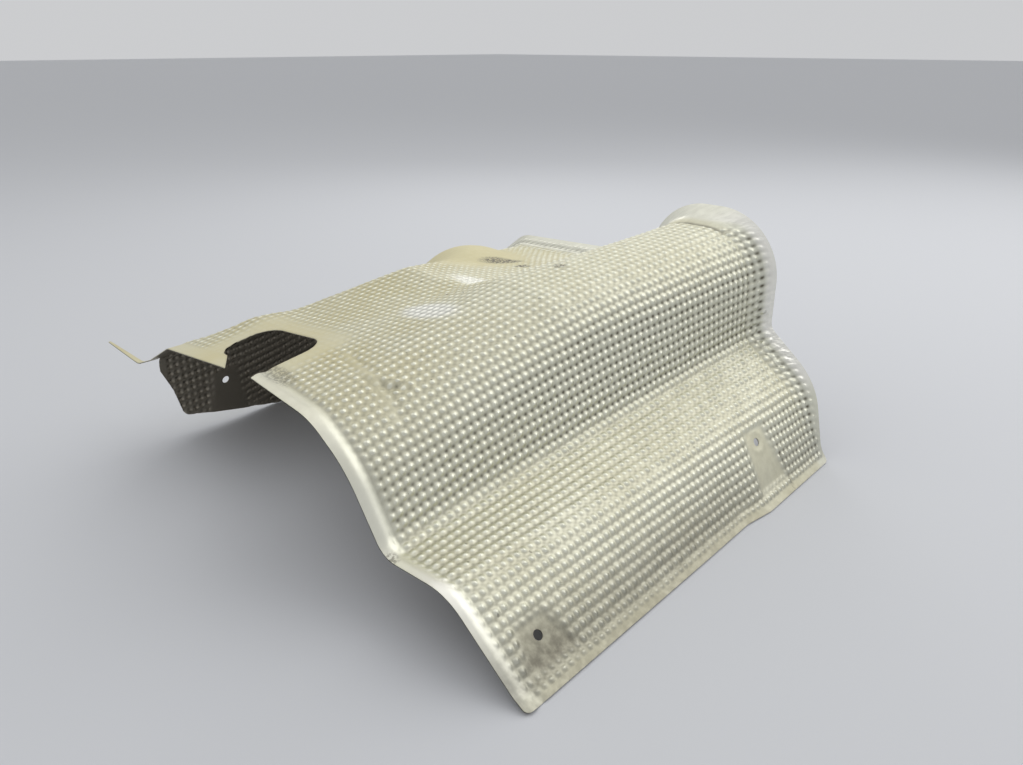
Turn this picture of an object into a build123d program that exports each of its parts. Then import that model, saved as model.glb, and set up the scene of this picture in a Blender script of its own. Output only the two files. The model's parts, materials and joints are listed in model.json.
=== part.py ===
from math import copysign, hypot
from build123d import *
import os

os.makedirs("parts", exist_ok=True)

# Pressed sheet
sheet = 1.0
length = 409.0
corner_radius = 4.5

# Corners of the bent section, from the right foot over the top to the left heel:
# across from the middle of the floor width, up from the floor, bend radius
mouth_section = {
    "foot": (241.0, 0.0, 0.0),
    "lip": (229.0, 6.0, 20.0),
    "shoulder": (173.0, 48.0, 44.0),
    "valley": (111.0, 43.0, 20.0),
    "haunch": (74.0, 96.0, 94.0),
    "crown": (36.0, 119.0, 60.0),
    "shelf": (-45.0, 127.0, 60.0),
    "ridge": (-190.0, 109.0, 16.0),
    "bend": (-236.0, 85.0, 18.0),
    "heel": (-240.0, 0.0, 0.0),
}
waist_section = {
    "foot": (238.0, 0.0, 0.0),
    "lip": (227.5, 7.0, 25.0),
    "shoulder": (188.0, 54.0, 50.0),
    "valley": (131.0, 73.0, 25.0),
    "haunch": (96.0, 167.0, 50.0),
    "crown": (23.0, 173.0, 70.0),
    "shelf": (-30.0, 155.0, 40.0),
    "ridge": (-104.0, 159.0, 26.0),
    "bend": (-224.0, 90.0, 24.0),
    "heel": (-240.0, 0.0, 0.0),
}
tail_section = {
    "foot": (234.0, 0.0, 0.0),
    "lip": (226.0, 8.0, 30.0),
    "shoulder": (206.0, 65.0, 60.0),
    "valley": (154.0, 107.0, 26.0),
    "haunch": (152.0, 203.0, 50.0),
    "crown": (56.0, 203.0, 46.0),
    "shelf": (34.0, 145.0, 18.0),
    "ridge": (-144.0, 137.0, 22.0),
    "bend": (-217.0, 96.0, 30.0),
    "heel": (-240.0, 0.0, 0.0),
}

# Place of the waist as a share of the length, and sag of the ridge halfway to it
waist_share = 0.49
ridge_sag = 5.5

# Smooth lip round the mouth, and collar flared outward round the tail
mouth_lip = 7.0
collar_flare = 12.0
collar_length = 20.0
collar_knee_length = 10.0
collar_knee_flare = 3.5
unflared = ("foot", "lip", "bend", "heel")

# Tongue that runs out to the left of the mouth, in line with its lip
tongue_length = 106.0
tongue_tip = 2.0
tongue_sag = 34.0
tongue_drop = 13.0
tongue_lift = 3.0
tongue_radius = 30.0

# Round blister pressed up in the left ridge
blister_across = -121.0
blister_from_tail = 111.0
blister_top = 158.0
blister_radius = 66.0
blister_fillet = 12.0

# Keyhole in the shelf, open at the mouth
keyhole_across = -84.5
keyhole_from_mouth = 15.0
keyhole_width = 89.0
keyhole_depth = 53.0
keyhole_radius = 22.0
throat_left = -81.0

# Bolt holes, by their distance from an end and up the flank or wall
bolt_hole = 7.0
front_bolt_from_mouth = 39.0
front_bolt_up = 19.0
rear_bolt_from_tail = 89.0
rear_bolt_up = 42.0
wall_bolt_from_mouth = 67.0
wall_bolt_up = 46.0

# Flat seat pressed in round each bolt hole, wider towards the hem
seat_depth = 1.2
seat_top = 26.0
seat_bottom = 44.0
seat_above = 12.0
seat_hem = 2.0

# Step outward in the hem of the right flank, towards the tail
hem_step = 5.0
hem_step_from_tail = 115.0
hem_step_run = 30.0

# Left wall cut back below the tongue: distance from the mouth and height of each turn
cutback_top = 72.0
cutback_knee = 16.0
cutback_knee_height = 50.0
cutback_knee_radius = 25.0
cutback_toe = 23.0
cutback_toe_height = 20.0
cutback_toe_radius = 9.0
cutback_end = 121.0

front = -length / 2
waist = waist_share * length
hem_step_start = length - hem_step_from_tail - hem_step_run
overrun = 10.0
corner_names = list(mouth_section)


def corners_at(from_mouth):
    """Corners of the inner side of the sheet at a distance from the mouth."""
    if from_mouth < waist:
        share = from_mouth / waist
        pairs = zip(mouth_section.values(), waist_section.values())
    else:
        share = (from_mouth - waist) / (length - waist)
        pairs = zip(waist_section.values(), tail_section.values())
    corners = [tuple(a + (b - a) * share for a, b in zip(ahead, behind)) for ahead, behind in pairs]
    past_step = (from_mouth - hem_step_start) / hem_step_run
    step = hem_step * min(max(past_step, 0.0), 1.0)
    past_middle = abs(from_mouth / waist - 0.5)
    sag = ridge_sag * max(1 - 2 * past_middle, 0.0)
    for name, move, drop in (("foot", step, 0.0), ("lip", step, 0.0), ("ridge", 0.0, sag)):
        x, z, radius = corners[corner_names.index(name)]
        corners[corner_names.index(name)] = (x + move, z - drop, radius)
    return corners


def run_normals(corners):
    """Unit outward normal of each straight run between two corners."""
    normals = []
    for (x0, z0, _), (x1, z1, _) in zip(corners, corners[1:]):
        run = hypot(x1 - x0, z1 - z0)
        normals.append(((z1 - z0) / run, (x0 - x1) / run))
    return normals


def shifted(corners, distance):
    """Corners of the same bent line, moved outward by a distance."""
    normals = run_normals(corners)
    moved = []
    for place, (x, z, radius) in enumerate(corners):
        ax, az = normals[max(place - 1, 0)]
        bx, bz = normals[min(place, len(normals) - 1)]
        reach = distance / (1 + ax * bx + az * bz)
        turn = ax * bz - az * bx
        grown = radius + (distance if turn > 0 else -distance)
        moved.append((x + (ax + bx) * reach, z + (az + bz) * reach, grown if radius else 0.0))
    return moved


def flared(corners, distance):
    """Corners flared outward, apart from those of the hem and the left wall."""
    moves = zip(corner_names, corners, shifted(corners, distance))
    return [old if name in unflared else new for name, old, new in moves]


def with_tongue(corners):
    """The section's corners with the left wall turned out into the tongue."""
    x, z, _ = corners[corner_names.index("bend")]
    root = (x, z, tongue_radius)
    sag = (x - tongue_sag, z - tongue_drop, tongue_radius)
    tip = (x - tongue_length, z - tongue_drop + tongue_lift, 0.0)
    return corners[:corner_names.index("bend")] + [root, sag, tip]


def body_stations():
    """Places along the body and the corners of its inner side there."""
    collar = length - collar_length
    knee = collar + collar_knee_length
    hem_step_end = hem_step_start + hem_step_run
    plain = [mouth_lip, waist / 2, waist, hem_step_start, hem_step_end, collar]
    return [(place, corners_at(place)) for place in plain] + [
        (knee, flared(corners_at(knee), collar_knee_flare)),
        (length, flared(corners_at(length), collar_flare)),
    ]


def points(corners):
    """The corner points without their radii."""
    return [(x, z) for x, z, _ in corners]


def radii(corners):
    """The bend radii of the corners between the two ends."""
    return [radius for _, _, radius in corners[1:-1]]


def section_plane(from_mouth):
    """Upright plane across the sheet, X across and Z up."""
    return Plane.XZ.offset(-(front + from_mouth))


def seat_plane(from_mouth, low, high, up):
    """Plane on the outer side of the run between two corners: Y up the run, Z outward."""
    corners = shifted(corners_at(from_mouth), sheet)
    start, end = corner_names.index(low), corner_names.index(high)
    x0, z0, _ = corners[start]
    x1, z1, _ = corners[end]
    along = up / hypot(x1 - x0, z1 - z0)
    nx, nz = run_normals(corners)[min(start, end)]
    origin = (x0 + (x1 - x0) * along, front + from_mouth, z0 + (z1 - z0) * along)
    return Plane(origin=origin, x_dir=(0, copysign(1, nx), 0), z_dir=(nx, 0, nz))


def seat_outline(up, grown=0.0):
    """Outline of a seat round a hole that is so far up its run, grown all round."""
    top = seat_above + grown
    bottom = seat_hem - up - grown
    Polygon(
        (seat_top / 2 + grown, top),
        (-seat_top / 2 - grown, top),
        (-seat_bottom / 2 - grown, bottom),
        (seat_bottom / 2 + grown, bottom),
        align=None,
    )


bolts = [
    (seat_plane(front_bolt_from_mouth, "lip", "shoulder", front_bolt_up), front_bolt_up),
    (seat_plane(length - rear_bolt_from_tail, "lip", "shoulder", rear_bolt_up), rear_bolt_up),
    (seat_plane(wall_bolt_from_mouth, "heel", "bend", wall_bolt_up), wall_bolt_up),
]
blister = (blister_across, -front - blister_from_tail, blister_top - blister_radius)

# The hollow under the body
with BuildPart() as hollow:
    for place, inner in body_stations():
        with BuildSketch(section_plane(place)):
            with BuildLine():
                FilletPolyline(*points(inner), radius=radii(inner))
                Line(points(inner)[-1], points(inner)[0])
            make_face()
    loft(ruled=True)
    with Locations(blister):
        Sphere(blister_radius - sheet, rotation=(90, 0, 0))
    fillet(hollow.edges(Select.NEW), blister_fillet + sheet)
    for plane, up in bolts:
        with BuildSketch(plane.offset(-seat_depth - sheet)):
            seat_outline(up, sheet)
        extrude(amount=seat_depth + sheet + overrun, mode=Mode.SUBTRACT)

# The body: its outer form less the hollow, then the lip, the tongue and the cut-outs
with BuildPart() as pressing:
    for place, inner in body_stations():
        outer = shifted(inner, sheet)
        with BuildSketch(section_plane(place)):
            with BuildLine():
                FilletPolyline(*points(outer), radius=radii(outer))
                Polyline(points(outer)[-1], points(inner)[-1], points(inner)[0], points(outer)[0])
            make_face()
    loft(ruled=True)
    with Locations(blister):
        Sphere(blister_radius, rotation=(90, 0, 0))
    fillet(pressing.edges(Select.NEW), blister_fillet)
    for plane, up in bolts:
        with BuildSketch(plane.offset(-seat_depth)):
            seat_outline(up)
        extrude(amount=seat_depth + overrun, mode=Mode.SUBTRACT)
    add(hollow.part, mode=Mode.SUBTRACT)

    # Left wall cut back
    with BuildSketch(Plane.YZ.offset(mouth_section["heel"][0] - overrun)):
        with BuildLine():
            FilletPolyline(
                (front + mouth_lip, cutback_top),
                (front + cutback_knee, cutback_knee_height),
                (front + cutback_toe, cutback_toe_height),
                (front + cutback_end, 0),
                radius=[cutback_knee_radius, cutback_toe_radius],
            )
            Polyline(
                (front + cutback_end, 0),
                (front + cutback_end, -overrun),
                (front - overrun, -overrun),
                (front - overrun, cutback_top),
                (front + mouth_lip, cutback_top),
            )
        make_face()
    extrude(amount=3 * overrun, mode=Mode.SUBTRACT)

    # Lip of the mouth with the tongue
    for place, inner in (
        (0, with_tongue(corners_at(0))),
        (mouth_lip, with_tongue(corners_at(mouth_lip))),
    ):
        outer = shifted(inner, sheet)
        with BuildSketch(section_plane(place)):
            with BuildLine():
                FilletPolyline(*points(outer), radius=radii(outer))
                Line(points(outer)[-1], points(inner)[-1])
                FilletPolyline(*points(inner), radius=radii(inner))
                Line(points(inner)[0], points(outer)[0])
            make_face()
    loft(ruled=True)

    # Tongue narrowed to its tip
    root_across = mouth_section["heel"][0] - 2 * sheet
    tip_across = mouth_section["bend"][0] - tongue_length
    with BuildSketch():
        Polygon(
            (root_across, front + mouth_lip),
            (tip_across, front + tongue_tip),
            (tip_across - overrun, front + tongue_tip),
            (tip_across - overrun, front + mouth_lip + overrun),
            (root_across, front + mouth_lip + overrun),
            align=None,
        )
    extrude(amount=2 * mouth_section["bend"][1], mode=Mode.SUBTRACT)

    # Keyhole with its throat
    keyhole_middle = front + keyhole_from_mouth + keyhole_depth / 2
    keyhole_right = keyhole_across + keyhole_width / 2
    keyhole_left = keyhole_across - keyhole_width / 2
    with BuildSketch():
        with Locations((keyhole_across, keyhole_middle)):
            RectangleRounded(keyhole_width, keyhole_depth, keyhole_radius)
        Polygon(
            (keyhole_right, front - overrun),
            (keyhole_right, keyhole_middle),
            (keyhole_left + keyhole_radius, front + keyhole_from_mouth),
            (throat_left, front),
            (throat_left, front - overrun),
            align=None,
        )
    extrude(amount=2 * mouth_section["crown"][1], mode=Mode.SUBTRACT)

    # Bolt holes
    for plane, _ in bolts:
        with BuildSketch(plane):
            Circle(bolt_hole / 2)
        extrude(amount=overrun, both=True, mode=Mode.SUBTRACT)

    # Rounded lower corners at the mouth and the tail
    with BuildSketch(Plane.YZ):
        for end, inward in ((front, 1), (-front, -1)):
            with Locations((end + inward * corner_radius / 2, corner_radius / 2)):
                Rectangle(corner_radius, corner_radius)
            with Locations((end + inward * corner_radius, corner_radius)):
                Circle(corner_radius, mode=Mode.SUBTRACT)
    extrude(amount=length, both=True, mode=Mode.SUBTRACT)

# The finished shield, with its origin on the floor below the middle of its outline
middle = pressing.part.bounding_box().center()
with BuildPart() as heat_shield:
    add(pressing.part.moved(Location((-middle.X, -middle.Y, 0))))

heat_shield.part.label = "heat_shield"
export_step(heat_shield.part, "parts/heat_shield.step")
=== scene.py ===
import json
import math

import bpy
import numpy as np
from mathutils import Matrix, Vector
from mathutils.geometry import delaunay_2d_cdt


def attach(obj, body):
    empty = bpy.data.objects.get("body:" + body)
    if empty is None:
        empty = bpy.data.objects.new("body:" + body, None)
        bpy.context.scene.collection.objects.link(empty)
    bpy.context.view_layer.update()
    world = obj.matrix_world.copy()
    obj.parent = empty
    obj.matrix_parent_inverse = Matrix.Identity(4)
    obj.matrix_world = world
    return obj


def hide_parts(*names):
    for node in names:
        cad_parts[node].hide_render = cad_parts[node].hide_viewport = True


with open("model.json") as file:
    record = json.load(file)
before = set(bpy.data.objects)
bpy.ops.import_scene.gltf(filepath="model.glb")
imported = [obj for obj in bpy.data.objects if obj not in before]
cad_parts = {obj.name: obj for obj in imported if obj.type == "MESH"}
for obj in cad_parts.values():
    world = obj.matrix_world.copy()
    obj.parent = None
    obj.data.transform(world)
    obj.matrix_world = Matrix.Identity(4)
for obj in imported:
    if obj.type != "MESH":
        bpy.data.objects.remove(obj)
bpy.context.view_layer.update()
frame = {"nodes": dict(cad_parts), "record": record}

mm = 0.001
farOff = 1000.0

# The bent sheet, in mm: corners of its section as across, up and bend radius,
# from the right foot to the left heel
sheetForm = {
    "mouth": [
        (241, 0, 0), (229, 6, 20), (173, 48, 44), (111, 43, 20), (74, 96, 94),
        (36, 119, 60), (-45, 127, 60), (-190, 109, 16), (-236, 85, 18), (-240, 0, 0),
    ],
    "waist": [
        (238, 0, 0), (227.5, 7, 25), (188, 54, 50), (131, 73, 25), (96, 167, 50),
        (23, 173, 70), (-30, 155, 40), (-104, 159, 26), (-224, 90, 24), (-240, 0, 0),
    ],
    "tail": [
        (234, 0, 0), (226, 8, 30), (206, 65, 60), (154, 107, 26), (152, 203, 50),
        (56, 203, 46), (34, 145, 18), (-144, 137, 22), (-217, 96, 30), (-240, 0, 0),
    ],
    "length": 409.0,
    "waistShare": 0.49,
    "ridgeSag": 5.5,
    "sheet": 1.0,
    "cornerRadius": 4.5,
    "flareStations": [(389, 0.0), (399, 3.5), (409, 12.0)],
    "hemStep": 5.0,
    "hemStepPlaces": (264.0, 294.0),
    "lipWidth": 7.0,
    "shelfLevel": 80.0,    # what lies higher is arch or shelf
    "wallAcross": -200.0,  # what lies further left is the far wall
}
tongueForm = {
    "length": 106.0, "tip": 2.0, "sag": 34.0, "drop": 13.0, "lift": 3.0, "radius": 30.0,
    "rootUp": 82.0, "rootInset": 9.0, "neck": (14.0, 0.6),
}
blisterForm = {
    "across": -121.0, "place": 298.0, "top": 158.0, "radius": 66.0, "blend": 12.0, "skirt": 3.0,
    "above": 60.0, "smoothGaps": (38, 74), "dimplesLeft": 0.12,
}
keyholeForm = {
    "across": -84.5, "near": 15.0, "width": 89.0, "depth": 53.0, "radius": 22.0,
    "throatLeft": -81.0, "throatStart": 0.5, "smoothGaps": (8, 26), "dimplesLeft": 0.15,
}
cutbackForm = {"turns": [(7, 72, 0), (16, 50, 25), (23, 20, 9), (121, 0, 0)]}
seatForm = {
    "depth": 1.2, "top": 26.0, "bottom": 44.0, "above": 12.0, "hem": 2.0, "soft": 9.0, "footRun": 12.0,
}
ringForm = {"mount": "rear_bolt", "radius": 8.5, "height": 0.6, "width": 2.2}

# Dimples in rows along the tunnel: spacing of rows and within a row, and grid steps to each of them
dimpleForm = {
    "pitch": (7.4, 6.25), "shift": (2.5, 0.0), "height": 1.15, "rowRidge": 0.25, "shading": 1.25,
    "sway": 0.15, "swayAcross": (19, 47, 7.3, 31), "swayAlong": (17, 53, 8.1, -37),
    "outside": (4, 3), "inside": (2, 2),
}

# Smooth margins round the dimples, in mm, and the runs they change over
marginForm = {
    "lip": 7.0, "lipGain": 4.0, "lipGainRuns": (120, 170), "lipSoft": 6.0, "footRuns": (4, 9),
    "tail": 4.0, "collar": 20.0, "collarRuns": (225, 265, 345, 375), "tailSoft": (4, 3),
}
flatStrip = {"line": [(301, 62), (274, 56), (251, 53), (235, 51), (219, 48)], "width": 4.0, "share": 0.65}

# The mesh: how near the edge grid points may lie and where slants may start, in grid steps
meshForm = {"edgeGap": 0.42, "slantGap": 1.6, "leastArea": 0.01, "bow": 0.05, "lean": 0.03}

# Rolled lip at the mouth, groove at the collar, bulge on the ridge and creases, as (run, place) in mm
lipForm = {
    "roll": 0.9, "rollPlace": 5.0, "trough": 0.9, "troughPlace": 13.0, "soft": 3.5, "endRuns": (330, 345),
}
collarForm = {"groove": 1.0, "groovePlace": 388.0, "soft": 2.6, "runs": (225, 250, 330, 360)}
bulgeForm = {"at": (452, 72), "spread": (27.6, 24.0), "height": 4.5}
# each crease's last value is a share of painted shade along it
creaseForm = [
    {"line": [(302, 59), (275, 53), (252, 50), (236, 48), (220, 45)],
     "depth": 1.0, "width": 2.0, "paintedShade": 0.10},
    {"line": [(300, 66), (273, 60), (250, 57), (234, 55), (218, 52)],
     "depth": 0.8, "width": 1.8, "paintedShade": 0.08},
    {"line": [(260, 54), (252, 59), (244, 63), (238, 69), (232, 70)],
     "depth": -1.8, "width": 2.6, "paintedShade": 0.0},
    {"line": [(245, 54), (239, 61), (234, 68)], "depth": 1.6, "width": 2.4, "paintedShade": 0.05},
    {"line": [(34, 343), (17, 346), (2, 341)], "depth": 0.8, "width": 1.5, "paintedShade": 0.6},
]

node = frame["nodes"]["heat_shield"]
cadPoints = np.array([v.co for v in node.data.vertices]) / mm
footShift = cadPoints[cadPoints[:, 2] < 0.01][:, 0].min() - sheetForm["tail"][-1][0]
front = cadPoints[:, 1].min()


def turnOf(a, b):
    return math.atan2(a[0] * b[1] - a[1] * b[0], a[0] * b[0] + a[1] * b[1])


def shiftedOut(corners, distance):
    # The section's corners moved outward, with bend radii to match
    runs = np.diff(corners[:, :2], axis=0)
    runs /= np.linalg.norm(runs, axis=1)[:, None]
    outward = np.stack([runs[:, 1], -runs[:, 0]], axis=1)
    before = outward[np.maximum(np.arange(len(corners)) - 1, 0)]
    after = outward[np.minimum(np.arange(len(corners)), len(runs) - 1)]
    moved = corners.copy()
    moved[:, :2] += (before + after) * (distance / (1 + (before * after).sum(axis=1)))[:, None]
    turn = before[:, 0] * after[:, 1] - before[:, 1] * after[:, 0]
    moved[:, 2] = np.where(corners[:, 2] > 0, corners[:, 2] + np.where(turn > 0, distance, -distance), 0)
    return moved


def cornersAt(place, tongue):
    # The section's corners at a place along the tunnel, run on as the tongue or bent down as the wall
    f = sheetForm
    mouth, waist, tail = (np.array(f[name], float) for name in ("mouth", "waist", "tail"))
    middle = f["waistShare"] * f["length"]
    if place < middle:
        corners = mouth + (waist - mouth) * place / middle
    else:
        corners = waist + (tail - waist) * (place - middle) / (f["length"] - middle)
    start, end = f["hemStepPlaces"]
    corners[:2, 0] += f["hemStep"] * np.clip((place - start) / (end - start), 0, 1)
    corners[7, 1] -= f["ridgeSag"] * max(1 - abs(2 * place / middle - 1), 0)
    if tongue:
        x, z, _ = corners[8]
        corners[8, 2] = tongueForm["radius"]
        sag = (x - tongueForm["sag"], z - tongueForm["drop"], tongueForm["radius"])
        tip = (x - tongueForm["length"], z - tongueForm["drop"] + tongueForm["lift"], 0)
        corners = np.vstack([corners[:9], sag, tip])
    flare = np.interp(place, *zip(*f["flareStations"]))
    if flare:
        corners[2:8] = shiftedOut(corners, flare)[2:8]
    return corners


def sectionLine(place, tongue=False, spacing=0.5):
    # Points, outward normals and run lengths along the section, with the bends rounded
    corners = cornersAt(place, tongue)
    xz, normals = [corners[0, :2]], []
    runs = np.diff(corners[:, :2], axis=0)
    runs /= np.linalg.norm(runs, axis=1)[:, None]
    normals.append((runs[0, 1], -runs[0, 0]))
    for k in range(1, len(corners) - 1):
        angle = turnOf(runs[k - 1], runs[k])
        radius = corners[k, 2]
        reach = radius * math.tan(abs(angle) / 2)
        begin = corners[k, :2] - runs[k - 1] * reach
        side = math.copysign(1, angle)
        centre = begin + radius * side * np.array([-runs[k - 1, 1], runs[k - 1, 0]])
        steps = max(int(abs(angle) * radius / spacing), 3)
        for t in np.linspace(0, angle, steps + 1):
            c, s = math.cos(t), math.sin(t)
            arm = begin - centre
            xz.append(centre + np.array([c * arm[0] - s * arm[1], s * arm[0] + c * arm[1]]))
            run = (c * runs[k - 1, 0] - s * runs[k - 1, 1], s * runs[k - 1, 0] + c * runs[k - 1, 1])
            normals.append((run[1], -run[0]))
    xz.append(corners[-1, :2])
    normals.append((runs[-1, 1], -runs[-1, 0]))
    xz, normals = np.array(xz), np.array(normals)
    along = np.concatenate([[0], np.cumsum(np.linalg.norm(np.diff(xz, axis=0), axis=1))])
    return xz, normals, along


lineCache = {}


def lineAt(place):
    key = round(place, 4)
    if key not in lineCache:
        lineCache[key] = sectionLine(place, tongue=place < sheetForm["lipWidth"] - 1e-6)
    return lineCache[key]


def runOf(place, across=None, up=None):
    # Run length from the right foot to where the shelf is so far across, or the left wall so far up
    xz, _, along = lineAt(place)
    if up is None:
        wanted, axis, mask = across, 0, xz[:, 1] > sheetForm["shelfLevel"]
    else:
        wanted, axis, mask = up, 1, xz[:, 0] < sheetForm["wallAcross"]
    order = np.argsort(xz[mask, axis])
    return np.interp(wanted, xz[mask, axis][order], along[mask][order])


def spread(points, step):
    # The same line with points no further apart than the step
    out = []
    for a, b in zip(points, points[1:]):
        count = max(int(math.ceil(math.dist(a, b) / step)), 1)
        out += [tuple(np.array(a) + (np.array(b) - np.array(a)) * k / count) for k in range(count)]
    return out + [tuple(points[-1])]


def rounded(turns, step=2.0):
    # A bent line of (x, y, radius) turns with its corners as arcs
    pts = [turns[0][:2]]
    for a, b, c in zip(turns, turns[1:], turns[2:]):
        into = np.array(b[:2], float) - a[:2]
        out = np.array(c[:2], float) - b[:2]
        into, out = into / np.linalg.norm(into), out / np.linalg.norm(out)
        angle = turnOf(into, out)
        reach = b[2] * math.tan(abs(angle) / 2)
        begin = np.array(b[:2]) - into * reach
        centre = begin + b[2] * math.copysign(1, angle) * np.array([-into[1], into[0]])
        for t in np.linspace(0, angle, max(int(abs(angle) * b[2] / step), 2) + 1):
            arm = begin - centre
            pts.append((centre[0] + math.cos(t) * arm[0] - math.sin(t) * arm[1],
                        centre[1] + math.sin(t) * arm[0] + math.cos(t) * arm[1]))
    return pts + [turns[-1][:2]]


def keyholeLine(step=2.0):
    # The keyhole's edge in plan, from the right of its throat round to the left, as (across, place)
    k = keyholeForm
    right, left = k["across"] + k["width"] / 2, k["across"] - k["width"] / 2
    near, far, r = k["near"], k["near"] + k["depth"], k["radius"]
    throat = left + r + k["throatStart"]
    turns = [(right, 0, 0), (right, far, r), (left, far, r), (left, near, r), (throat, near, 0)]
    return spread(rounded(turns, step) + [(k["throatLeft"], 0.0)], step)


def sheetOutline(step=2.0):
    # The sheet's edge laid flat, as (run, place), anticlockwise with run to the right
    s, t = sheetForm, tongueForm
    end, r, lip = s["length"], s["cornerRadius"], s["lipWidth"]
    quarter = np.linspace(0, math.pi / 2, 5)
    keyhole = [(float(runOf(max(p, 0), across=x)), p) for x, p in keyholeLine(step)]
    tipRun = lineAt(0.0)[2][-1]
    rootRun = float(runOf(lip, up=t["rootUp"])) - t["rootInset"]
    mouth = spread([(r, 0.0), keyhole[0]], step)[:-1] + keyhole
    mouth += spread([keyhole[-1], (tipRun, 0.0)], step)[1:]
    neck = (rootRun + t["neck"][0], lip - t["neck"][1])
    tongue = spread([(tipRun, t["tip"]), neck, (rootRun, lip)], step)
    wall = [(float(runOf(p, up=z)), p) for p, z in spread(rounded(cutbackForm["turns"]), step)]
    frontEdge = spread([(rootRun, lip), wall[0]], step)[1:-1]
    heel = [(lineAt(p)[2][-1], p) for p in np.arange(wall[-1][1] + step, end - r, step)]
    heelTurn = []
    for angle in quarter:
        place = end - r + r * math.sin(angle)
        heelTurn.append((lineAt(place)[2][-1] - r * (1 - math.cos(angle)), place))
    tail = spread([heelTurn[-1], (r, end)], step)[1:-1]
    footTurn = [(r - r * math.sin(a), end - r + r * math.cos(a)) for a in quarter]
    foot = spread([footTurn[-1], (0.0, r)], step)[1:-1]
    mouthTurn = [(r - r * math.cos(a), r - r * math.sin(a)) for a in quarter]
    return mouth + tongue + frontEdge + wall + heel + heelTurn + tail + footTurn + foot + mouthTurn[:-1]


def holeRings(count=24):
    # Each bolt hole laid flat, as a name, a centre (run, place) and a ring of points
    rings = []
    for mount in frame["record"]["mounts"]:
        x, y, z = (v / mm for v in mount["pos_m"])
        place = y - front
        xz, _, along = lineAt(place)
        run = along[np.argmin(np.hypot(xz[:, 0] + footShift - x, xz[:, 1] - z))]
        run, radius = float(refined(place, x, z, run)), mount["dims"]["r_mm"]
        ring = [(run + radius * math.cos(a), place + radius * math.sin(a))
                for a in np.linspace(0, 2 * math.pi, count, endpoint=False)]
        rings.append((mount["name"], (run, place), ring))
    return rings


def refined(place, x, z, near, reach=60, count=2401):
    # The run whose point is nearest to a place across and up, found on a finer line
    xz, _, along = lineAt(place)
    fine = np.linspace(near - reach, near + reach, count)
    px = np.interp(fine, along, xz[:, 0]) + footShift
    pz = np.interp(fine, along, xz[:, 1])
    return fine[np.argmin(np.hypot(px - x, pz - z))]


def insideLoop(points, loop, block=4000):
    # Which points lie inside a closed line, taken block by block
    a, b = np.array(loop), np.roll(np.array(loop), -1, axis=0)
    inside = np.zeros(len(points), bool)
    for start in range(0, len(points), block):
        p = points[start:start + block]
        x, y = p[:, :1], p[:, 1:]
        cross = (a[:, 1] > y) != (b[:, 1] > y)
        with np.errstate(divide="ignore", invalid="ignore"):
            at = a[:, 0] + (y - a[:, 1]) / (b[:, 1] - a[:, 1]) * (b[:, 0] - a[:, 0])
        inside[start:start + block] = ((cross & (x < at)).sum(axis=1) % 2) == 1
    return inside


def flatMesh(loops, perDimple, edgeBlock=100):
    # Triangles over the outline less the holes, on a grid that follows the dimples
    edge = np.vstack([np.array(loop) for loop in loops])
    step = np.array(dimpleForm["pitch"]) / perDimple
    first = np.array(dimpleForm["shift"]) - dimpleForm["pitch"] + step * 0.5 * (np.array(perDimple) % 2)
    axes = [np.arange(first[k], edge[:, k].max(), step[k]) for k in range(2)]
    cells = np.stack(np.meshgrid(*(np.arange(len(a)) for a in axes)), -1).reshape(-1, 2)
    grid = first + cells * step
    keep = insideLoop(grid, loops[0])
    for loop in loops[1:]:
        middle = np.mean(loop, axis=0)
        keep &= np.hypot(*(grid - middle).T) > np.hypot(*(np.array(loop[0]) - middle))
    grid, cells = grid[keep], cells[keep]
    gap = np.full(len(grid), farOff)
    for start in range(0, len(edge), edgeBlock):
        steps = np.abs(grid[:, None, :] - edge[None, start:start + edgeBlock]) / step
        gap = np.minimum(gap, steps.max(axis=2).min(axis=1))
    keep = gap > meshForm["edgeGap"]
    points = np.vstack([edge, grid[keep]])
    edges, at = [], 0
    for loop in loops:
        edges += [(at + k, at + (k + 1) % len(loop)) for k in range(len(loop))]
        at += len(loop)
    edges += slants(cells[keep], len(edge), perDimple, gap[keep] > meshForm["slantGap"])
    leaned = [Vector(p) for p in bowed(points)]
    _, _, faces, origin, _, _ = delaunay_2d_cdt(leaned, edges, [], 0, 1e-7)
    faces = np.array([o[0] for o in origin])[np.array(faces)]
    allEdge = (faces < len(edge)).all(axis=1)
    middles = points[faces[allEdge]].mean(axis=1)
    a, b, c = (points[faces[allEdge][:, k]] for k in range(3))
    area = np.abs((b - a)[:, 0] * (c - a)[:, 1] - (b - a)[:, 1] * (c - a)[:, 0])
    good = insideLoop(middles, loops[0]) & (area > meshForm["leastArea"])
    for loop in loops[1:]:
        good &= ~insideLoop(middles, loop)
    wanted = np.ones(len(faces), bool)
    wanted[allEdge] = good
    return points, faces[wanted], len(edge)


def bowed(points):
    # The flat sheet leaned, with straight edges bowed by a hair, so that no flat triangle lies along them
    share = points / points.max(axis=0) * 2 - 1
    bow = meshForm["bow"] * share * (1 - share[:, ::-1] ** 2)
    return points + bow + np.stack([meshForm["lean"] * points[:, 1], 0 * points[:, 0]], axis=1)


def slants(cells, first, perDimple, clear):
    # A diagonal for each whole grid square, so that the squares of a dimple meet at its middle
    index = {tuple(c): first + k for k, c in enumerate(cells.tolist()) if clear[k]}
    acrossTop, alongTop = perDimple[0] // 2, perDimple[1] // 2
    pairs = []
    for i, j in index:
        rising = (i % perDimple[0] < acrossTop) == (j % perDimple[1] < alongTop)
        a, b = ((i, j), (i + 1, j + 1)) if rising else ((i + 1, j), (i, j + 1))
        square = [(i, j), (i + 1, j), (i, j + 1), (i + 1, j + 1)]
        if all(c in index for c in square):
            pairs.append((index[a], index[b]))
    return pairs


def smooth(low, high, value):
    # From 0 at the low value to 1 at the high one
    t = np.clip((value - low) / (high - low), 0, 1)
    return t * t * (3 - 2 * t)


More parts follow.
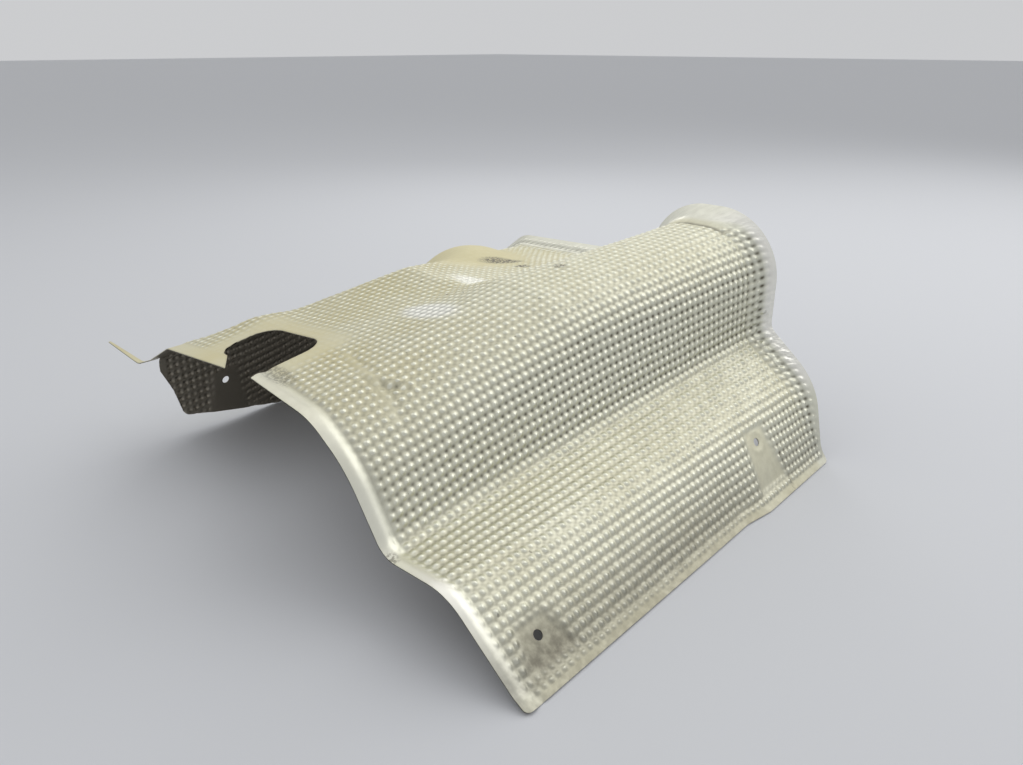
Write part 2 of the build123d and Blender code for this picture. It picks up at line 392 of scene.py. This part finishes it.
def within(a, b, c, d, value):
    # 1 from b to c, falling to 0 at a and d
    return smooth(a, b, value) * (1 - smooth(c, d, value))


def atLeast(least, low, high, value):
    return least + (1 - least) * smooth(low, high, value)


def bell(gap, width):
    return np.exp(-(gap / width) ** 2)


def bellAt(points, at, spread):
    return bell(np.hypot(*((points - at) / spread).T), 1.0)


def seatShare(points, holes):
    # How far each point lies within a bolt seat, from 0 outside to 1
    f = seatForm
    share = np.zeros(len(points))
    for _, (run, place), _ in holes:
        total = lineAt(place)[2][-1]
        leftWall = run > total / 2
        up = (run - points[:, 0]) if leftWall else (points[:, 0] - run)
        along = points[:, 1] - place
        low = f["hem"] - ((total - run) if leftWall else (run - f["footRun"]))
        t = np.clip((f["above"] - up) / (f["above"] - low), 0, 1)
        half = (f["top"] + (f["bottom"] - f["top"]) * t) / 2
        inside = np.minimum.reduce([half - np.abs(along), f["above"] - up, up - low])
        share = np.maximum(share, smooth(-f["soft"] / 2, f["soft"] / 2, inside))
    return share


print("sheet: outline and grid")
holes = holeRings()
outline = sheetOutline()
loops = [outline] + [ring for _, _, ring in holes]


def placeOn(points):
    # Positions and outward normals on the inner side of the plain sheet
    order = np.argsort(points[:, 1], kind="stable")
    xyz, normal = np.zeros((len(points), 3)), np.zeros((len(points), 3))
    places, starts = np.unique(np.round(points[order, 1], 4), return_index=True)
    for place, group in zip(places, np.split(order, starts[1:])):
        xz, normals, along = lineAt(place)
        runs = points[group, 0]
        xyz[group, 0] = np.interp(runs, along, xz[:, 0])
        xyz[group, 1] = place
        xyz[group, 2] = np.interp(runs, along, xz[:, 1])
        normal[group, 0] = np.interp(runs, along, normals[:, 0])
        normal[group, 2] = np.interp(runs, along, normals[:, 1])
    normal /= np.linalg.norm(normal, axis=1)[:, None]
    return xyz, normal


def blistered(xyz):
    # How high each point lies once the round blister is blended in
    b = blisterForm
    gap = np.hypot(xyz[:, 0] - b["across"], xyz[:, 1] - b["place"])
    dome = b["top"] - b["radius"] + np.sqrt(np.maximum(b["radius"] ** 2 - gap ** 2, 0))
    dome = dome - b["skirt"] * np.maximum(gap - b["radius"], 0)
    dome = np.where(xyz[:, 2] > b["above"], dome, -farOff)
    h = np.clip(0.5 + 0.5 * (dome - xyz[:, 2]) / b["blend"], 0, 1)
    return xyz[:, 2] * (1 - h) + dome * h + b["blend"] * h * (1 - h)


def keyholeGap(xyz):
    # Distance in plan from the keyhole's edge, for points up on the shelf
    k = keyholeForm
    dx = np.abs(xyz[:, 0] - k["across"]) - k["width"] / 2
    dy = np.abs(xyz[:, 1] - k["near"] - k["depth"] / 2) - k["depth"] / 2
    gap = np.hypot(np.maximum(dx, 0), np.maximum(dy, 0)) + np.minimum(np.maximum(dx, dy), 0)
    return np.where(xyz[:, 2] > sheetForm["shelfLevel"], gap, farOff)


def blisterGap(xyz):
    # Distance in plan from the blister's middle, for points up on the shelf
    b = blisterForm
    gap = np.hypot(xyz[:, 0] - b["across"], xyz[:, 1] - b["place"])
    return np.where(xyz[:, 2] > sheetForm["shelfLevel"], gap, farOff)


def smoothAreas(points, xyz, seats):
    # 1 where the sheet is dimpled, down to 0 where it is left smooth
    f = marginForm
    run, place = points.T
    lip = f["lip"] + f["lipGain"] * smooth(*f["lipGainRuns"], run)
    mask = smooth(lip, lip + f["lipSoft"], place) * smooth(*f["footRuns"], run) * (1 - seats)
    edge = sheetForm["length"] - f["tail"] - f["collar"] * within(*f["collarRuns"], run)
    mask = mask * (1 - smooth(edge - f["tailSoft"][0], edge + f["tailSoft"][1], place))
    mask = mask * (1 - flatStrip["share"] * bell(lineGap(points, flatStrip["line"]), flatStrip["width"]))
    for form, gap in ((keyholeForm, keyholeGap(xyz)), (blisterForm, blisterGap(xyz))):
        mask = mask * atLeast(form["dimplesLeft"], *form["smoothGaps"], gap)
    return mask


def slowWave(a, b, lengths):
    # A slow and a quick wave along a, which wander with b
    first, swing, second, drift = lengths
    return np.sin(a / first + 2 * np.sin(b / swing)) + 0.6 * np.sin(a / second + b / drift)


def swayed(points):
    # Each point on the dimples' own grid, which is a little uneven and passes the hem's step straight
    run, place = points.T
    f = dimpleForm
    start, end = sheetForm["hemStepPlaces"]
    (lipX, lipZ, _), (x, z, _) = cornersAt(end, False)[1:3]
    gain = math.dist((lipX, lipZ), (x, z)) - math.dist((lipX - sheetForm["hemStep"], lipZ), (x, z))
    points = points - np.stack([gain * np.clip((place - start) / (end - start), 0, 1), 0 * place], axis=1)
    across, along = slowWave(place, run, f["swayAcross"]), slowWave(run, place, f["swayAlong"])
    return points + f["sway"] * np.stack([across, along], axis=1)


def dimples(points):
    f = dimpleForm
    wave = 0.5 - 0.5 * np.cos(2 * math.pi * (swayed(points) - f["shift"]) / f["pitch"])
    return f["height"] * wave[:, 0] * (f["rowRidge"] + (1 - f["rowRidge"]) * wave[:, 1])


def lineGap(points, line):
    # Distance of each point from a bent line
    gap = np.full(len(points), farOff)
    for a, b in zip(np.array(line, float), np.array(line[1:], float)):
        share = np.clip(((points - a) @ (b - a)) / ((b - a) @ (b - a)), 0, 1)
        gap = np.minimum(gap, np.hypot(*(points - a - share[:, None] * (b - a)).T))
    return gap


def pressedIn(points):
    # How far the lip, the groove, the bulge, the bolt's ring and the creases lie off the plain sheet
    run, place = points.T
    lip, collar, ring = lipForm, collarForm, ringForm
    onLip = 1 - smooth(*lip["endRuns"], run)
    off = onLip * lip["roll"] * bell(place - lip["rollPlace"], lip["soft"])
    off -= onLip * lip["trough"] * bell(place - lip["troughPlace"], lip["soft"])
    onArch = within(*collar["runs"], run)
    off -= onArch * collar["groove"] * bell(place - collar["groovePlace"], collar["soft"])
    off += bulgeForm["height"] * bellAt(points, bulgeForm["at"], bulgeForm["spread"])
    for name, centre, _ in holes:
        if name == ring["mount"]:
            off += ring["height"] * bell(np.hypot(*(points - centre).T) - ring["radius"], ring["width"])
    for crease in creaseForm:
        off -= crease["depth"] * bell(lineGap(points, crease["line"]), crease["width"])
    return off


def sideOf(points, outer):
    # Positions with and without dimples, outward normals and the shares of dimpling and of bolt seat
    xyz, normal = placeOn(points)
    seats = seatShare(points, holes)
    mask = smoothAreas(points, xyz, seats)
    xyz[:, 2] = blistered(xyz)
    level = (sheetForm["sheet"] if outer else 0) - seatForm["depth"] * seats + pressedIn(points)
    plain = xyz + normal * level[:, None] + (footShift, front, 0)
    plain[:, 2] = np.maximum(plain[:, 2], 0)
    xyz = plain + normal * (dimples(points) * mask)[:, None]
    xyz[:, 2] = np.maximum(xyz[:, 2], 0)
    return xyz, plain, normal, mask, seats


def pointNormals(faces, xyz):
    a, b, c = (xyz[faces[:, k]] for k in range(3))
    faceNormals = np.cross(b - a, c - a)
    normals = np.zeros_like(xyz)
    for k in range(3):
        np.add.at(normals, faces[:, k], faceNormals)
    return normals / np.linalg.norm(normals, axis=1)[:, None]


def facing(faces, xyz, normal):
    # The faces turned so that each looks the way of its points' normals
    a, b, c = (xyz[faces[:, k]] for k in range(3))
    flip = (np.cross(b - a, c - a) * normal[faces].sum(axis=1)).sum(axis=1) < 0
    faces = faces.copy()
    faces[flip] = faces[flip][:, ::-1]
    return faces


# Worn and stained spots: middle and half sizes as (run, place), in mm
wornForm = [
    {"at": (312, 143), "half": (34, 16), "share": 1.0},
    {"at": (352, 222), "half": (40, 14), "share": 0.9},
]
stainForm = [
    {"at": (316, 15), "half": (22, 9), "share": 0.55},
    {"at": (434, 303), "half": (10, 22), "share": 1.0},
    {"at": (405, 304), "half": (5, 8), "share": 1.1},
    {"at": (284, 248), "half": (6, 5), "share": 0.8},
    {"at": (137, 2), "half": (6, 4), "share": 0.7},
]


def spotted(points, spots, edge=(0.55, 1.25)):
    # The strongest spot at each point, soft over the edge given in half sizes
    share = np.zeros(len(points))
    for spot in spots:
        gap = np.hypot(*((points - spot["at"]) / spot["half"]).T)
        share = np.maximum(share, spot["share"] * (1 - smooth(*edge, gap)))
    return share


# Dust: shares, and the slopes, runs and places in mm that they change over
dustForm = {
    "least": 0.14, "inside": 0.12, "seat": 0.4, "blister": 0.4,
    "up": 0.20, "upSlopes": (0.2, 0.95),
    "left": 0.50, "leftSlopes": (0.0, 0.5), "leftAcross": (-50, 170),
    "foot": 0.5, "footRuns": (4, 12),
    "mouth": 0.22, "mouthAt": (285, 55), "mouthSpread": 60.0,
    "lipLeft": 0.4, "lipPlaces": (10, 20), "tongueRuns": (335, 345),
    "collarLoss": 0.85, "collarPlaces": (390, 398),
}


def filmShare(points, xyz, normals, seats, side):
    # How dusty each point is: most on top and to the left, least on the rims and the right flank
    f = dustForm
    run, place = points.T
    left = 1 - smooth(*f["leftAcross"], xyz[:, 0])
    film = f["least"] + f["up"] * smooth(*f["upSlopes"], normals[:, 2])
    film = film + f["left"] * left * smooth(*f["leftSlopes"], normals[:, 2])
    film = np.maximum(film, f["foot"] * (1 - smooth(*f["footRuns"], run)))
    film = film + f["mouth"] * bellAt(points, f["mouthAt"], f["mouthSpread"])
    offBlister = smooth(*blisterForm["smoothGaps"], blisterGap(xyz - (footShift, front, 0)))
    film = film + f["blister"] * (1 - offBlister)
    onTongue = smooth(*f["tongueRuns"], run)
    film = film * np.maximum(atLeast(f["lipLeft"], *f["lipPlaces"], place), onTongue)
    film = film * (1 - f["collarLoss"] * smooth(*f["collarPlaces"], place))
    film = film * (1 - spotted(points, wornForm))
    film = np.maximum(film, f["seat"] * seats)
    return np.where(side > 0, film, f["inside"])


# Painted shade in the lip's trough and the collar's groove, and darkening low on the flank, on the seats and
# on the collar's top: shares, and the runs and places in mm that they change over
shadeAndDarkForm = {
    "flank": 0.48, "flankRuns": (15, 62), "tailLoss": 0.5, "tailPlaces": (200, 330),
    "seat": 0.02, "frontSeat": 0.30, "frontPlaces": (100, 200), "seatPower": 0.6,
    "lip": 0.30, "lipPlace": 14.0, "lipWidth": 1.6, "lipRuns": (140, 180, 320, 345),
    "groove": 0.85, "grooveWidth": 1.5,
    "collar": 0.12, "collarPlaces": (388, 394), "collarRuns": (235, 250, 290, 320),
}


def paintedShadeAndDarkShare(points, seats):
    # Even darkening low on the flank and on the seats, painted shade along the lip's trough, in the collar's
    # groove and in the creases, and darkening on the collar's top
    f = shadeAndDarkForm
    run, place = points.T
    towardsTail = 1 - f["tailLoss"] * smooth(*f["tailPlaces"], place)
    paintedShadeAndDark = f["flank"] * (1 - smooth(*f["flankRuns"], run)) * towardsTail
    atFront = 1 - smooth(*f["frontPlaces"], place)
    paintedShadeAndDark = paintedShadeAndDark + (f["seat"] + f["frontSeat"] * atFront) * seats ** f["seatPower"]
    # painted shade in the lip's trough and in the collar's groove
    paintedShadeAndDark = paintedShadeAndDark + f["lip"] * within(*f["lipRuns"], run) * bell(place - f["lipPlace"], f["lipWidth"])
    onCollar = within(*f["collarRuns"], run)
    paintedShadeAndDark = paintedShadeAndDark + f["groove"] * onCollar * bell(place - collarForm["groovePlace"], f["grooveWidth"])
    paintedShadeAndDark = paintedShadeAndDark + f["collar"] * onCollar * smooth(*f["collarPlaces"], place)
    for crease in creaseForm:
        paintedShadeAndDark = np.maximum(paintedShadeAndDark, crease["paintedShade"] * bell(lineGap(points, crease["line"]), crease["width"]))
    return paintedShadeAndDark


# Polished metal with a painted highlight along the lip and the collar, and the worn spots: shares, and the
# runs and places in mm that they change over
polishAndHighlightForm = {
    "lipRuns": (6, 14, 325, 345), "lipPlaces": (7, 12),
    "lipLeast": 0.3, "brightRun": 85.0, "brightSpread": 30.0,
    "collarRuns": (60, 90, 560, 590), "collarPlaces": (400, 405),
    "topRuns": (240, 270), "topGain": 8.0, "topLoss": 0.7, "lossRuns": (240, 280),
    "worn": 0.7,
}


def polishAndHighlightShare(points):
    # Bright bare metal along the lip and the collar and on the worn spots, with a painted highlight
    # brightest at one run of the lip and on the collar's right side
    f = polishAndHighlightForm
    run, place = points.T
    bright = f["lipLeast"] + (1 - f["lipLeast"]) * bell(run - f["brightRun"], f["brightSpread"])
    lip = within(*f["lipRuns"], run) * (1 - smooth(*f["lipPlaces"], place)) * bright
    ahead = place + f["topGain"] * smooth(*f["topRuns"], run)
    collar = smooth(*f["collarPlaces"], ahead) * within(*f["collarRuns"], run)
    collar = collar * (1 - f["topLoss"] * smooth(*f["lossRuns"], run))
    return np.maximum.reduce([lip, collar, f["worn"] * spotted(points, wornForm)])


# Crumples: shares, and the runs and places in mm that they change over
crumpleForm = {
    "lowRuns": (85, 105, 165, 195), "lowPlaces": (386, 396),
    "collar": 0.25, "collarRuns": (170, 200), "collarPlaces": (392, 398),
    "fold": 0.7, "foldAt": (243, 62), "foldSpread": 12.8,
}


def crumpleShare(points):
    # Crumpled metal low on the collar and by the mouth
    f = crumpleForm
    run, place = points.T
    low = within(*f["lowRuns"], run) * smooth(*f["lowPlaces"], place)
    collar = f["collar"] * smooth(*f["collarRuns"], run) * smooth(*f["collarPlaces"], place)
    return np.maximum.reduce([low, collar, f["fold"] * bellAt(points, f["foldAt"], f["foldSpread"])])


topPoints, topFaces, edgeCount = flatMesh(loops, dimpleForm["outside"])
underPoints, underFaces, _ = flatMesh(loops, dimpleForm["inside"])
topXyz, topPlain, topNormal, topMask, topSeats = sideOf(topPoints, True)
underXyz, underPlain, underNormal, underMask, underSeats = sideOf(underPoints, False)
topFaces = facing(topFaces, topPlain, topNormal)
underFaces = facing(underFaces, underPlain, -underNormal)
plainNormals = np.vstack([pointNormals(topFaces, topPlain), pointNormals(underFaces, underPlain)])
underFaces = underFaces + len(topXyz)

# The sheet's cut edges, each facing away from the sheet
directed = np.vstack([topFaces[:, [0, 1]], topFaces[:, [1, 2]], topFaces[:, [2, 0]]])
directed = directed[(directed < edgeCount).all(axis=1)]
pairs = {tuple(e) for e in directed.tolist()}
rim = [(a, b) for a, b in pairs if (b, a) not in pairs]
rimFaces = []
for a, b in rim:
    rimFaces += [(b, a, a + len(topXyz)), (b, a + len(topXyz), b + len(topXyz))]

vertices = np.vstack([topXyz, underXyz]) * mm
faces = np.vstack([topFaces, underFaces, np.array(rimFaces)])
mesh = bpy.data.meshes.new("heatShield")
mesh.from_pydata(vertices.tolist(), [], faces.tolist())
mesh.validate()


def keepValues(name, values):
    # Values of each point that the material reads
    vector = values.ndim == 2
    attribute = mesh.attributes.new(name, "FLOAT_VECTOR" if vector else "FLOAT", "POINT")
    attribute.data.foreach_set("vector" if vector else "value", values.ravel())


flat = np.vstack([topPoints, underPoints])
seats = np.concatenate([topSeats, underSeats])
side = np.concatenate([np.ones(len(topPoints)), -np.ones(len(underPoints))])
onGrid = (swayed(flat) - dimpleForm["shift"]) / dimpleForm["pitch"]
keepValues("sheetPlace", np.column_stack([flat * mm, np.zeros(len(flat))]))
keepValues("dimpleGrid", np.column_stack([onGrid, np.zeros(len(flat))]))
keepValues("sheetSide", side)
keepValues("plainNormal", plainNormals)
keepValues("dimpled", np.concatenate([topMask, underMask]))
keepValues("filmed", filmShare(flat, vertices / mm, plainNormals, seats, side))
keepValues("paintedShadeAndDarkened", paintedShadeAndDarkShare(flat, seats))
keepValues("stained", spotted(flat, stainForm))
keepValues("polishedAndHighlit", polishAndHighlightShare(flat))
keepValues("crumpled", crumpleShare(flat))
mesh.polygons.foreach_set("use_smooth", np.ones(len(mesh.polygons), bool))
shield = bpy.data.objects.new("heatShield", mesh)
bpy.context.collection.objects.link(shield)
print("sheet:", len(vertices), "points,", len(faces), "triangles")


# The sheet's look: bare metal, a dusty film over it and painted shade between the dimples
metalForm = {
    "bare": (0.80, 0.80, 0.68), "bareShade": 0.94, "bareRough": 0.40,
    # the next colour is polished metal, also standing as a painted highlight on the lip and the collar
    "polishAndHighlight": (0.93, 0.92, 0.86), "polishRough": 0.42,
    "film": (0.655, 0.60, 0.37), "filmRough": 0.60, "filmMetal": 0.25,
    # painted shade: the next colour darkens the grooves between the dimples and the ground round their tops
    "paintedGrooveShade": (0.14, 0.13, 0.095), "grooveShadeShare": 0.95, "groundShadeShare": 0.10,
    # painted shade and darkening: the next colour darkens the lip's trough, the collar's groove and the
    # creases as painted shade, and also the flank, the seats, the collar's top, the stains and the dark dots
    "paintedShadeAndDark": (0.135, 0.122, 0.095),
    # painted shade: the inner side gets a darker colour of the same metal, standing in for the shade under
    # the sheet
    "inside": (0.27, 0.245, 0.20),
    "broadScale": 14.0, "fineScale": 160.0, "speckScale": 420.0,
    "dotScale": 150.0, "dotShare": 0.5,
    "crumpleScale": 130.0, "crumpleHeight": 3.5, "fineHeight": 0.015,  # heights in mm
}


class Nodes:
    # Short ways to add shader nodes to one material
    def __init__(self, material):
        material.use_nodes = True
        self.tree = material.node_tree
        self.shader = self.tree.nodes["Principled BSDF"]

    def plug(self, socket, value):
        if isinstance(value, bpy.types.NodeSocket):
            self.tree.links.new(value, socket)
        elif isinstance(value, tuple) and len(value) == 3 and socket.type == "RGBA":
            socket.default_value = (*value, 1)
        else:
            socket.default_value = value

    def add(self, kind, **inputs):
        made = self.tree.nodes.new("ShaderNode" + kind)
        for name, value in inputs.items():
            self.plug(made.inputs[name], value)
        return made

    def math(self, operation, *values):
        made = self.tree.nodes.new("ShaderNodeMath")
        made.operation = operation
        for socket, value in zip(made.inputs, values):
            self.plug(socket, value)
        return made.outputs[0]

    def value(self, name, output="Fac"):
        made = self.tree.nodes.new("ShaderNodeAttribute")
        made.attribute_name = name
        return made.outputs[output]

    def noise(self, vector, scale, detail=3.0, rough=0.55):
        made = self.add("TexNoise", Vector=vector, Scale=scale, Detail=detail, Roughness=rough)
        return made.outputs["Fac"]

    def span(self, value, low, high, to=(0.0, 1.0)):
        made = self.tree.nodes.new("ShaderNodeMapRange")
        made.interpolation_type = "SMOOTHSTEP"
        for socket, v in zip(made.inputs, (value, low, high, *to)):
            self.plug(socket, v)
        return made.outputs[0]

    def mix(self, share, a, b):
        made = self.tree.nodes.new("ShaderNodeMix")
        made.data_type = "RGBA"
        self.plug(made.inputs["Factor"], share)
        self.plug(made.inputs["A"], a)
        self.plug(made.inputs["B"], b)
        return made.outputs["Result"]


def embossedMetal():
    look = metalForm
    material = bpy.data.materials.new("embossedSheet")
    n = Nodes(material)
    place = n.value("sheetPlace", "Vector")
    grid = n.value("dimpleGrid", "Vector")
    side = n.value("sheetSide")
    dimpled = n.value("dimpled")
    plainNormal = n.value("plainNormal", "Vector")
    outside = n.span(side, -0.1, 0.1)
    inside = n.math("SUBTRACT", 1.0, outside)

    # the dimples, each of its own height
    onGrid = n.add("SeparateXYZ", Vector=grid)
    waves = []
    for axis in "XY":
        swing = n.math("COSINE", n.math("MULTIPLY", onGrid.outputs[axis], 2 * math.pi))
        waves.append(n.math("MULTIPLY_ADD", swing, -0.5, 0.5))
    cell = n.tree.nodes.new("ShaderNodeVectorMath")
    cell.operation = "FLOOR"
    n.plug(cell.inputs[0], grid)
    chance = n.add("TexWhiteNoise", Vector=cell.outputs[0]).outputs["Value"]
    ridge = dimpleForm["rowRidge"]
    crest = n.math("MULTIPLY", waves[0], n.math("MULTIPLY_ADD", waves[1], 1 - ridge, ridge))
    bump = n.math("MULTIPLY", crest, dimpled)
    peak = n.math("MULTIPLY", crest, n.span(chance, 0.0, 1.0, (0.75, 1.1)))
    peak = n.math("MULTIPLY", n.span(peak, 0.28, 0.66), dimpled)

    # how much film, painted shade, painted highlight, darkening and wear there is
    broad = n.noise(place, look["broadScale"], 4.0)
    fine = n.noise(place, look["fineScale"], 3.0)
    film = n.math("MULTIPLY", n.value("filmed"), n.span(broad, 0.30, 0.70, (0.75, 1.25)))
    film = n.math("MULTIPLY", film, n.math("MULTIPLY_ADD", peak, -0.85, 1.0))
    # painted shade: darker in the grooves between the dimples and on the ground round their tops, more on
    # steep sides
    steep = n.span(n.add("SeparateXYZ", Vector=plainNormal).outputs["Z"], 0.85, 0.25)
    pit = n.math("MULTIPLY", n.math("SUBTRACT", 1.0, waves[0]), n.math("MULTIPLY_ADD", waves[1], -0.65, 1.0))
    groove = n.math("MULTIPLY", pit, dimpled)
    paintedGrooveShade = n.math("MULTIPLY", n.math("POWER", groove, 2.0), look["grooveShadeShare"])
    paintedGrooveShade = n.math("MULTIPLY", paintedGrooveShade, n.math("MULTIPLY_ADD", steep, 0.6, 0.4))
    paintedGrooveShade = n.math("MULTIPLY", paintedGrooveShade, n.span(fine, 0.25, 0.75, (0.75, 1.15)))
    ground = n.math("MULTIPLY", n.math("SUBTRACT", 1.0, peak), dimpled)
    paintedGrooveShade = n.math("MULTIPLY_ADD", ground, look["groundShadeShare"], paintedGrooveShade)
    # painted shade in the lip's trough, the collar's groove and the creases, darkening on the flank, the
    # seats and the collar's top, stains and dark dots
    paintedShadeAndDark = n.math("MULTIPLY", n.value("paintedShadeAndDarkened"), n.span(fine, 0.25, 0.70, (0.8, 1.1)))
    speck = n.noise(place, look["speckScale"], 2.0)
    stain = n.math("MULTIPLY", n.value("stained"), n.span(speck, 0.42, 0.56, (0.25, 1.0)))
    dots = n.span(n.noise(place, look["dotScale"], 1.0), 0.755, 0.775, (0.0, look["dotShare"]))
    dots = n.math("MULTIPLY", dots, dimpled)
    paintedShadeAndDark = n.math("MINIMUM", n.math("MAXIMUM", n.math("MAXIMUM", paintedShadeAndDark, stain), dots), 1.0)
    # polished metal with a painted highlight on the lip and the collar, and the worn spots
    polishedAndHighlit = n.value("polishedAndHighlit")
    bare = n.mix(n.span(fine, 0.3, 0.7), look["bare"], tuple(c * look["bareShade"] for c in look["bare"]))
    bare = n.mix(polishedAndHighlit, bare, look["polishAndHighlight"])
    colour = n.mix(film, bare, look["film"])
    colour = n.mix(paintedGrooveShade, colour, look["paintedGrooveShade"])
    colour = n.mix(paintedShadeAndDark, colour, look["paintedShadeAndDark"])
    # painted shade: the inner side darkened as the shade under the sheet
    colour = n.mix(inside, colour, look["inside"])
    n.plug(n.shader.inputs["Base Color"], colour)
    n.plug(n.shader.inputs["Metallic"], n.span(film, 0.0, 1.0, (1.0, look["filmMetal"])))
    bareRough = n.span(polishedAndHighlit, 0.0, 1.0, (look["bareRough"], look["polishRough"]))
    rough = n.span(film, 0.0, 1.0, (bareRough, look["filmRough"]))
    n.plug(n.shader.inputs["Roughness"], n.math("ADD", rough, n.span(fine, 0.2, 0.8, (-0.05, 0.06))))

    # dimples and fine unevenness in the shading
    dimpleHeight = dimpleForm["height"] * dimpleForm["shading"] * mm
    height = n.math("MULTIPLY", n.math("MULTIPLY", bump, side), dimpleHeight)
    height = n.math("MULTIPLY", height, n.span(chance, 0.0, 1.0, (0.75, 1.15)))
    height = n.math("MULTIPLY_ADD", fine, look["fineHeight"] * mm, height)
    crumple = n.math("MULTIPLY", n.value("crumpled"), n.noise(place, look["crumpleScale"], 2.0))
    height = n.math("MULTIPLY_ADD", crumple, look["crumpleHeight"] * mm, height)
    relief = n.add("Bump", Strength=1.0, Distance=1.0, Height=height, Normal=plainNormal)
    n.plug(n.shader.inputs["Normal"], relief.outputs["Normal"])
    return material


shield.data.materials.append(embossedMetal())
print("look: embossed metal")
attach(shield, "root")
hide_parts("heat_shield")

# Floor, light and camera
stageForm = {
    "floorSize": 40.0, "floorColour": (0.62, 0.63, 0.65, 1), "floorRough": 0.7, "floorDrop": 0.0005,
    "worldColour": (0.97, 0.98, 1.0, 1), "worldStrength": 0.62,
}


def plainMaterial(name, colour, roughness):
    material = bpy.data.materials.new(name)
    material.use_nodes = True
    shader = material.node_tree.nodes["Principled BSDF"]
    shader.inputs["Base Color"].default_value = colour
    shader.inputs["Roughness"].default_value = roughness
    return material


half = stageForm["floorSize"] / 2
floorMesh = bpy.data.meshes.new("floor")
floorCorners = [(-half, -half, 0), (half, -half, 0), (half, half, 0), (-half, half, 0)]
floorMesh.from_pydata(floorCorners, [], [(0, 1, 2, 3)])
floor = bpy.data.objects.new("floor", floorMesh)
floor.location.z = -stageForm["floorDrop"]
bpy.context.collection.objects.link(floor)
floorMesh.materials.append(plainMaterial("paleFloor", stageForm["floorColour"], stageForm["floorRough"]))

world = bpy.data.worlds.new("studio")
bpy.context.scene.world = world
world.use_nodes = True
world.node_tree.nodes["Background"].inputs["Color"].default_value = stageForm["worldColour"]
world.node_tree.nodes["Background"].inputs["Strength"].default_value = stageForm["worldStrength"]

# Soft lights: place and aim in metres
lampForm = [
    {"name": "backSoftbox", "place": (0.55, 1.30, 1.50), "aim": (0.0, 0.0, 0.1), "size": 2.2, "power": 16.0},
    {"name": "topSoftbox", "place": (-0.6, -0.3, 1.9), "aim": (0.0, 0.0, 0.0), "size": 1.8, "power": 5.0},
    {"name": "leftSoftbox", "place": (-0.95, 1.05, 0.95), "aim": (0.0, 0.0, 0.1), "size": 0.6, "power": 2.0},
]
for lamp in lampForm:
    data = bpy.data.lights.new(lamp["name"], "AREA")
    data.size, data.energy = lamp["size"], lamp["power"]
    light = bpy.data.objects.new(lamp["name"], data)
    light.location = lamp["place"]
    light.rotation_euler = (Vector(lamp["aim"]) - light.location).to_track_quat("-Z", "Y").to_euler()
    bpy.context.collection.objects.link(light)

# Where the camera stands, in mm from the mouth's right foot, and how it is turned, in degrees
cameraForm = {
    "lens": 27.03, "sensor": 36.0, "height": 354.0, "across": 220.24, "back": -240.12,
    "pitch": 23.848, "yaw": 44.092,
}
cameraData = bpy.data.cameras.new("camera")
cameraData.sensor_width, cameraData.lens = cameraForm["sensor"], cameraForm["lens"]
camera = bpy.data.objects.new("camera", cameraData)
mouthFoot = sheetForm["mouth"][0][0] + footShift
cameraPlace = (cameraForm["across"] + mouthFoot, cameraForm["back"] + front, cameraForm["height"])
camera.location = [v * mm for v in cameraPlace]
camera.rotation_euler = (math.radians(90 - cameraForm["pitch"]), 0, math.radians(cameraForm["yaw"]))
bpy.context.collection.objects.link(camera)
bpy.context.scene.camera = camera
bpy.context.scene.view_settings.view_transform = "Standard"
print("stage: floor,", len(lampForm), "lights and camera")

print("scene: ready")
